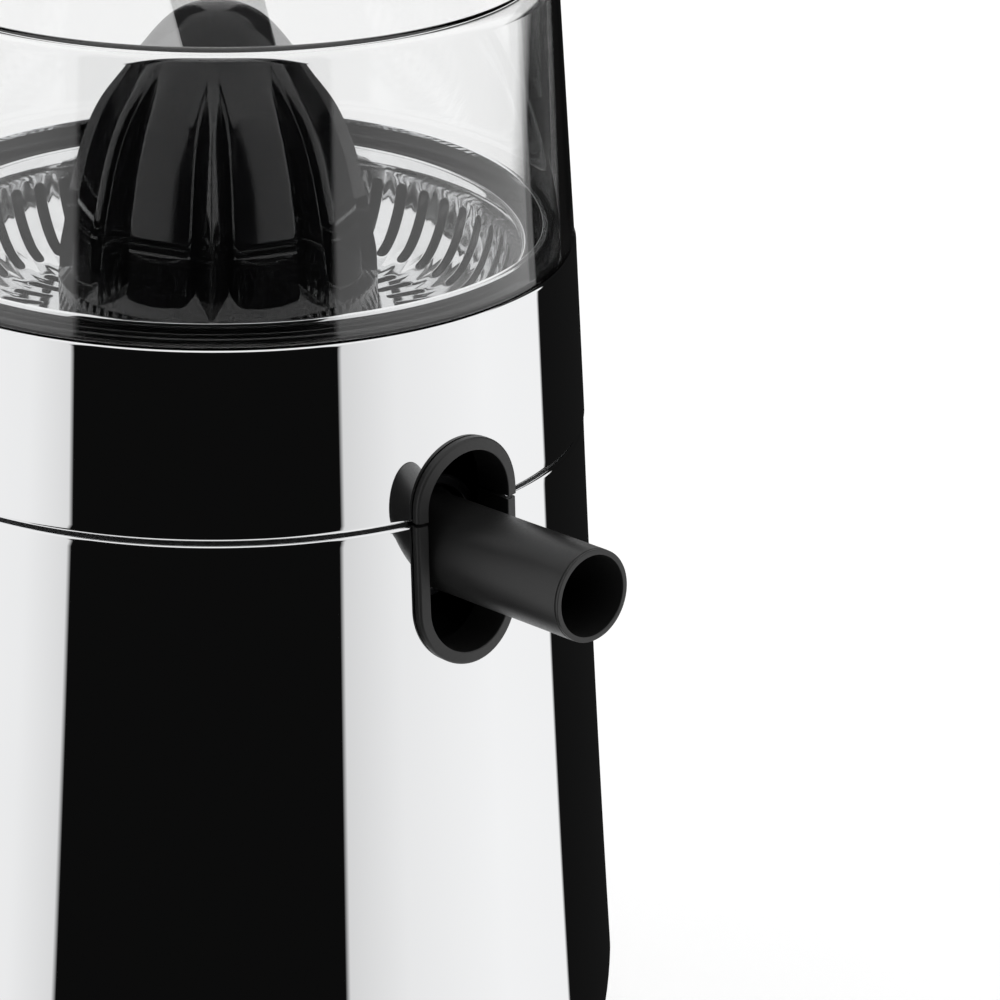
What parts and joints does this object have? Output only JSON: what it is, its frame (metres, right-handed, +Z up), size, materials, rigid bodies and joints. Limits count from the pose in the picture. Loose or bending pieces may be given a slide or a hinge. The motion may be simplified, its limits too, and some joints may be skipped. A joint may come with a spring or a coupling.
{
  "type": "citrus press juicer",
  "caption": "Electric citrus juicer: flared polished steel housing, finned pressing cone over a slotted sieve and bowl, tilting spout in a split slot, clear lift-off lid.",
  "frame": {"origin": "on the drive axis, at the flat underside of the base cover; the feet reach 2.5 mm lower", "axes": "+Z up along the drive axis, -Y towards the juice spout, +X to the right seen from the spout side"},
  "size_m": [0.1948, 0.2319, 0.2805],
  "materials": {
    "polished_steel": "mirror polished",
    "sieve_steel": "bright stamped sheet",
    "bowl_black": "gloss",
    "cone_black": "high gloss",
    "spout_black": "satin",
    "trim_black": "satin",
    "lid_clear": "clear moulded",
    "frame_plastic": "moulded",
    "rubber": "matte",
    "zinc_steel": "zinc plated",
    "lamination": "stacked sheet",
    "copper_wire": "enamelled winding",
    "bronze": "sintered",
    "nylon": "moulded",
    "red_plastic": "moulded"
  },
  "bodies": {
    "base": {"lower_shell": "polished_steel", "upper_shell": "polished_steel", "upper_trim": "trim_black", "lower_trim": "trim_black", "top_deck": "frame_plastic", "deck_rim": "frame_plastic", "base_cover": "frame_plastic", "foot_1": "rubber", "foot_2": "rubber", "foot_3": "rubber", "foot_4": "rubber", "base_screw_1": "zinc_steel", "base_screw_2": "zinc_steel", "base_screw_3": "zinc_steel", "base_screw_4": "zinc_steel", "cord_gland": "rubber", "juice_bowl": "bowl_black", "bowl_funnel": "bowl_black", "bowl_floor": "bowl_black", "bowl_collar": "bowl_black", "bowl_chimney": "bowl_black", "bowl_outlet": "bowl_black", "collar_hoop": "polished_steel", "outlet_gasket": "rubber", "sieve": "sieve_steel", "idler_pin": "zinc_steel", "gearbox_tray": "frame_plastic", "gearbox_lid": "frame_plastic", "gearbox_screw_1": "zinc_steel", "gearbox_screw_2": "zinc_steel", "gearbox_screw_3": "zinc_steel", "spindle_bush": "bronze", "spindle_seal": "rubber", "lever_bracket": "frame_plastic", "micro_switch": "frame_plastic", "stator": "lamination", "winding_top": "copper_wire", "winding_bottom": "copper_wire", "motor_bracket_top": "zinc_steel", "motor_bracket_bottom": "zinc_steel", "rotor_bush_top": "bronze", "rotor_bush_bottom": "bronze", "motor_bolt_1": "zinc_steel", "motor_bolt_2": "zinc_steel", "run_capacitor": "red_plastic", "terminal_block": "nylon"},
    "lid": {"lid": "lid_clear"},
    "spout": {"spout": "spout_black"},
    "drive_gear": {"output_gear": "nylon"},
    "press": {"spindle": "zinc_steel", "cone": "cone_black", "cone_hub": "nylon", "return_spring": "zinc_steel"},
    "idler": {"idler_gear": "nylon"},
    "rotor": {"motor_shaft": "zinc_steel", "rotor_core": "lamination", "cooling_fan": "nylon", "motor_pinion": "zinc_steel"},
    "switch_lever": {"switch_lever": "zinc_steel"},
    "switch_plunger": {"switch_plunger": "red_plastic"}
  },
  "joints": [
    {"name": "lid_lift", "type": "slide", "parent": "base", "child": "lid", "axis": [0, 0, 1], "range_m": [0, 0.09]},
    {"name": "spout_tilt", "type": "hinge", "parent": "base", "child": "spout", "pos_m": [0, -0.07, 0.1562], "axis": [-1, 0, 0], "range_deg": [-15, 11]},
    {"name": "drive_spin", "type": "hinge", "parent": "base", "child": "drive_gear", "pos_m": [0, 0, 0.0835], "axis": [0, 0, 1], "continuous": true},
    {"name": "spindle_press", "type": "slide", "parent": "drive_gear", "child": "press", "axis": [0, 0, 1], "range_m": [-0.0025, 0], "stiffness_N_per_m": 2000, "springref_m": 0.004, "deforming": ["return_spring"]},
    {"name": "idler_spin", "type": "hinge", "parent": "base", "child": "idler", "pos_m": [0.02652, 0.02652, 0.08], "axis": [0, 0, 1], "continuous": true},
    {"name": "rotor_spin", "type": "hinge", "parent": "base", "child": "rotor", "pos_m": [-0.00246, 0.03428, 0.04], "axis": [0, 0, 1], "continuous": true},
    {"name": "lever_tilt", "type": "hinge", "parent": "base", "child": "switch_lever", "pos_m": [0, -0.034, 0.0737], "axis": [1, 0, 0], "range_deg": [-4.6, 0]},
    {"name": "plunger_travel", "type": "slide", "parent": "base", "child": "switch_plunger", "axis": [0, 0, 1], "range_m": [-0.0014, 0]}
  ],
  "couplings": [
    {"joint": "idler_spin", "follows": "drive_spin", "ratio": -4},
    {"joint": "rotor_spin", "follows": "drive_spin", "ratio": 16},
    {"joint": "lever_tilt", "follows": "spindle_press", "rad_per_m": 30.8},
    {"joint": "plunger_travel", "follows": "spindle_press", "ratio": 0.55}
  ]
}
